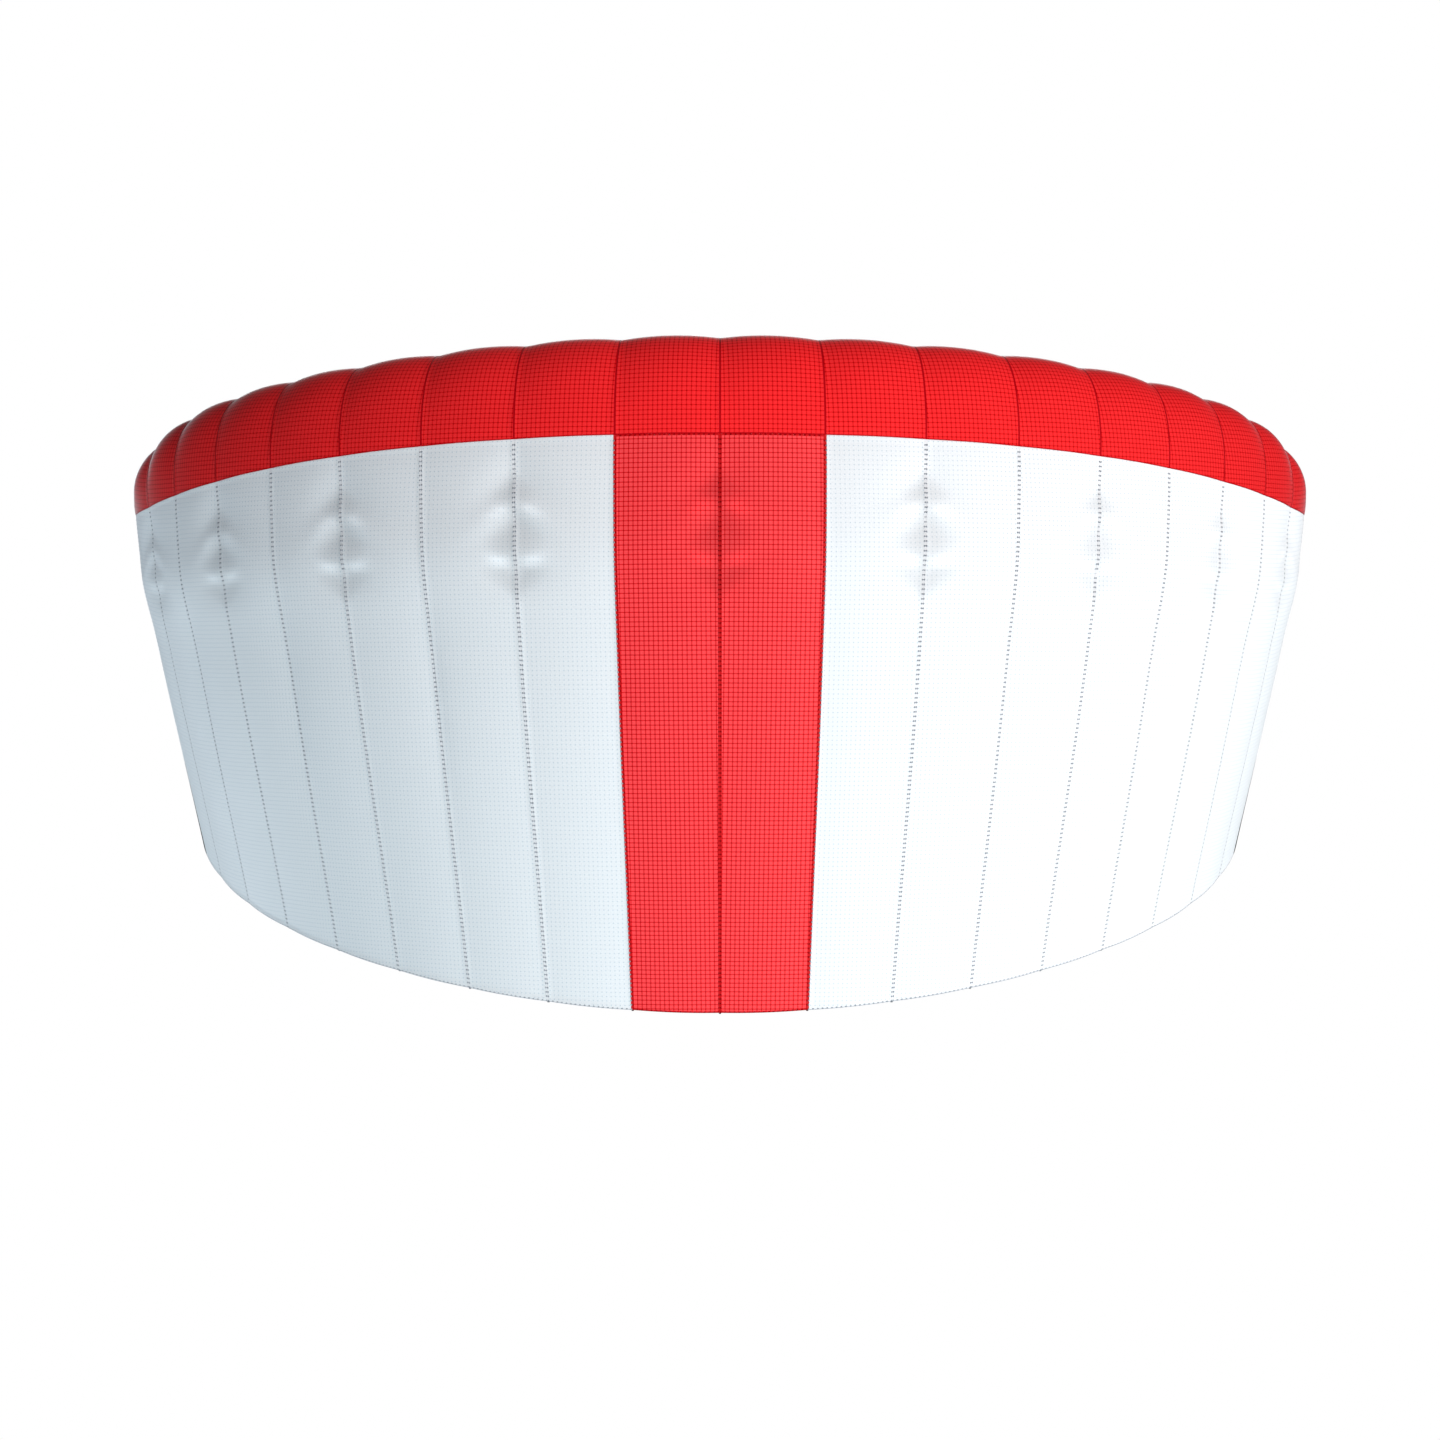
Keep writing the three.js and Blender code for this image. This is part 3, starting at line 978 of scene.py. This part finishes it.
# %% Sewing one panel
STITCH_ALONG = 4.2
STITCH_ACROSS = 3.6
STITCH_HEIGHT = 0.4
STITCH_RAISED = 0.2
ROW_PROBE_SEAM = 0.01
ROW_PROBE_CHORD = 0.002

ball = bmesh.new()
bmesh.ops.create_icosphere(ball, subdivisions=1, radius=0.5)
BALL_POINTS = np.array([point.co[:] for point in ball.verts])
BALL_FACES = np.array([[point.index for point in face.verts] for face in ball.faces])
ball.free()


def normalised(direction):
    """The same direction with a length of 1."""
    return direction / np.linalg.norm(direction, axis=-1, keepdims=True)


def sew(kind, number, side, is_red):
    """All the stitches of one panel, as one object."""
    seam, chord, runs_across = stitch_places(kind, number)
    next_seam = seam + runs_across * ROW_PROBE_SEAM
    next_chord = chord + (1 - runs_across) * ROW_PROBE_CHORD
    along = normalised(cloth_point(side * next_seam, next_chord) - cloth_point(side * seam, chord))
    out = outward(side * seam, chord)
    across = normalised(np.cross(out, along))
    axes = np.stack([along * STITCH_ALONG, across * STITCH_ACROSS, out * STITCH_HEIGHT], 1) * MM
    centre = cloth_point(side * seam, chord, STITCH_RAISED)
    points = centre[:, None, :] + np.einsum("pk,nkx->npx", BALL_POINTS, axes)
    faces = BALL_FACES[None] + np.arange(len(seam))[:, None, None] * len(BALL_POINTS)
    mesh = bpy.data.meshes.new(f"stitching_{kind}_{SIDE_NAMES[side]}_{number}")
    mesh.from_pydata(points.reshape(-1, 3), [], faces.reshape(-1, 3))
    mesh.shade_smooth()
    return new_object(mesh.name, mesh, dark_red_thread if is_red else grey_thread)


print("faces of one stitch:", len(BALL_FACES))

# %% [markdown]
# ## The dark strips on the tips
# A dark strip lies over the free edge of each tip, from almost a point to five centimetres at the rear
# corner. It is dull, so it stays dark even where the tip is seen almost edge on. It could be painted on
# the tip panel, and here it is a separate thin sheet just over the cloth.

# %% Dark strip on the free edge of a tip
EDGE_STRIP_STARTS = 0.7
EDGE_STRIP_FIRST_WIDTH = 3
EDGE_STRIP_LAST_WIDTH = 50
EDGE_STRIP_RAISED = 0.4
EDGE_STRIP_COLUMNS = 4
EDGE_STRIP_ROWS = 60
EDGE_STRIP_TONES_PER_METRE = 400
EDGE_STRIP_COLOURS = ((0.012, 0.015, 0.019, 1), (0.03, 0.035, 0.04, 1))

edge_strip_cloth, edge_strip_tree, edge_strip_shader = new_material("dark_edge_cloth")
edge_strip_tone = speckle(edge_strip_tree, own_place(edge_strip_tree), EDGE_STRIP_TONES_PER_METRE)
edge_strip_tree.links.new(blend_colours(edge_strip_tree, edge_strip_tone, *EDGE_STRIP_COLOURS), edge_strip_shader.inputs["Base Color"])
edge_strip_shader.inputs["Roughness"].default_value = 1
edge_strip_shader.inputs["Specular IOR Level"].default_value = 0


def dark_edge_strip(side):
    """A thin dark strip that widens towards the rear corner of the tip."""
    grid = flat_grid(EDGE_STRIP_COLUMNS, EDGE_STRIP_ROWS, side)
    flat = np.array([point.co[:] for point in grid.verts])
    share = SQUARE_HALF - flat[:, 1]
    chord = EDGE_STRIP_STARTS + (1 - EDGE_STRIP_STARTS) * share
    width = EDGE_STRIP_FIRST_WIDTH + (EDGE_STRIP_LAST_WIDTH - EDGE_STRIP_FIRST_WIDTH) * share
    seam = PANELS_PER_SIDE - (SQUARE_HALF - flat[:, 0]) * width / panel_width(PANELS_PER_SIDE, chord)
    for point, place in zip(grid.verts, cloth_point(side * seam, chord, EDGE_STRIP_RAISED)):
        point.co = place
    mesh = bpy.data.meshes.new(f"dark_edge_strip_{SIDE_NAMES[side]}")
    grid.to_mesh(mesh)
    grid.free()
    mesh.shade_smooth()
    return new_object(mesh.name, mesh, edge_strip_cloth)


# The dark strip's width at its two ends.
print("tape from", EDGE_STRIP_FIRST_WIDTH, "to", EDGE_STRIP_LAST_WIDTH, "mm wide")

# %% [markdown]
# ## The shape and the layout of a panel
# The grid's points move to their places on the plan. The flat layout goes into the UV map, turned a little
# more from panel to panel, because the cloth of each panel is cut with its grain along the middle of the
# panel. The shading is smooth, but the rims are marked sharp: the thickness would otherwise pull the
# shading over each edge, and every seam would get a bright line.

# %% Placing a panel
CLOTH_THICKNESS = 0.8
GRAIN_TURN_FIRST = 0.2
GRAIN_TURN_STEP = 1.2


def cut_layout(kind, number, on):
    """The place of each point on the flat cloth in metres, turned by the grain of its panel."""
    turn = math.radians(GRAIN_TURN_FIRST + GRAIN_TURN_STEP * (number - 1))
    out = (on.from_inner - on.width / 2) * MM
    back = STRIPS[kind]["runs"] * on.down * MM
    across = math.cos(turn) * out - math.sin(turn) * back
    along = math.sin(turn) * out + math.cos(turn) * back
    return np.stack([across, along], -1)


def carry(mesh, name, value_type, domain, values):
    """Stores one value for each point or edge of a mesh."""
    mesh.attributes.new(name, value_type, domain).data.foreach_set("value", values)


def placed_mesh(kind, number, side):
    """The mesh of a panel at its place, and where its points lie on the plan."""
    rows = STRIPS[kind]["rows"]
    grid = flat_grid(COLUMNS, rows, side, layer="cut")
    rims = [edge.is_boundary for edge in grid.edges]
    mesh = bpy.data.meshes.new(f"{kind}_cloth_{SIDE_NAMES[side]}_{number}")
    grid.to_mesh(mesh)
    grid.free()
    flat = np.array([point.co[:] for point in mesh.vertices])
    column = np.round((flat[:, 0] + SQUARE_HALF) * COLUMNS)
    row = np.round((SQUARE_HALF - flat[:, 1]) * rows)

    on = measure_panel(kind, number, column, row)
    mesh.vertices.foreach_set("co", cloth_point(side * on.seam, on.chord, on.height).ravel())
    corners = np.zeros(len(mesh.loops), int)
    mesh.loops.foreach_get("vertex_index", corners)
    mesh.uv_layers["cut"].data.foreach_set("uv", cut_layout(kind, number, on)[corners].ravel())
    for name, values in carried_numbers(kind, number, on).items():
        carry(mesh, name, "FLOAT", "POINT", values)
    mesh.shade_smooth()
    carry(mesh, "sharp_edge", "BOOLEAN", "EDGE", rims)
    mesh.update()
    return mesh, on


print("grain turns from", GRAIN_TURN_FIRST, "degrees by", GRAIN_TURN_STEP, "a panel")

# %% [markdown]
# ## The panels
# Solidify gives the cloth its thickness on the hollow side, so the outer side stays where it was drawn. A
# wall could be extruded instead, but the modifier keeps the panel a single sheet that is easy to change.
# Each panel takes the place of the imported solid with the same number, and its stitches go with it.

# %% The panel maker
def make_panel(kind, number, side):
    """One strip of cloth. kind is nose or skin, number counts from the middle, side is -1 for left."""
    is_red = kind == "nose" or number == 1
    cloth = nose_cloth if kind == "nose" else red_cloth if is_red else white_cloth
    mesh, on = placed_mesh(kind, number, side)
    piece = new_object(mesh.name, mesh, cloth)
    thickness = piece.modifiers.new("thickness", "SOLIDIFY")
    thickness.thickness = CLOTH_THICKNESS * MM
    thickness.offset = -1
    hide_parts(f"{kind}_panel_{SIDE_NAMES[side]}_{number}")

    sewn_on = [sew(kind, number, side, is_red)]
    if kind == "skin" and number == PANELS_PER_SIDE:
        sewn_on.append(dark_edge_strip(side))
    area = sum(face.area for face in mesh.polygons)
    return area


cloth_area = 0
for number in range(1, PANELS_PER_SIDE + 1):
    for side in SIDE_NAMES:
        for kind in STRIPS:
            cloth_area += make_panel(kind, number, side)
stitches = [piece for piece in scene.objects if piece.name.startswith("stitching")]
triangles = sum(len(piece.data.polygons) for piece in stitches)
print("cloth in all:", round(cloth_area, 3), "square metres; stitches:", triangles // len(BALL_FACES))

# %% [markdown]
# ## Webbing of the line loops
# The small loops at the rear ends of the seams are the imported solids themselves, because a folded bit of
# tape has no more shape than that at this size. They only get a finish: black woven webbing, with ribs
# across the tape.

# %% Webbing
RIBS_SCALE = 300
RIBS_UNEVEN = 0.6
RIB_BUMP_STRENGTH = 0.5
RIB_BUMP_HEIGHT = 0.2 * MM
WEBBING_COLOURS = ((0.006, 0.006, 0.007, 1), (0.02, 0.021, 0.024, 1))
WEBBING_ROUGHNESS = 0.75

webbing, webbing_tree, webbing_shader = new_material("black_webbing")
ribs = webbing_tree.nodes.new("ShaderNodeTexWave")
ribs.bands_direction = "Z"
ribs.inputs["Scale"].default_value = RIBS_SCALE
ribs.inputs["Distortion"].default_value = RIBS_UNEVEN
webbing_tree.links.new(own_place(webbing_tree), ribs.inputs["Vector"])
rib_colour = blend_colours(webbing_tree, ribs.outputs["Fac"], *WEBBING_COLOURS)
webbing_tree.links.new(rib_colour, webbing_shader.inputs["Base Color"])
raise_surface(webbing_tree, webbing_shader, ribs.outputs["Fac"], RIB_BUMP_STRENGTH, RIB_BUMP_HEIGHT)
webbing_shader.inputs["Roughness"].default_value = WEBBING_ROUGHNESS
print("webbing:", webbing.name)

# %% The loops get their webbing
loops = [name for name in frame["nodes"] if name.startswith("line_tab")]
for name in loops:
    tab = frame["nodes"][name]
    tab.data.materials.clear()
    tab.data.materials.append(webbing)
print("line loops:", len(loops))
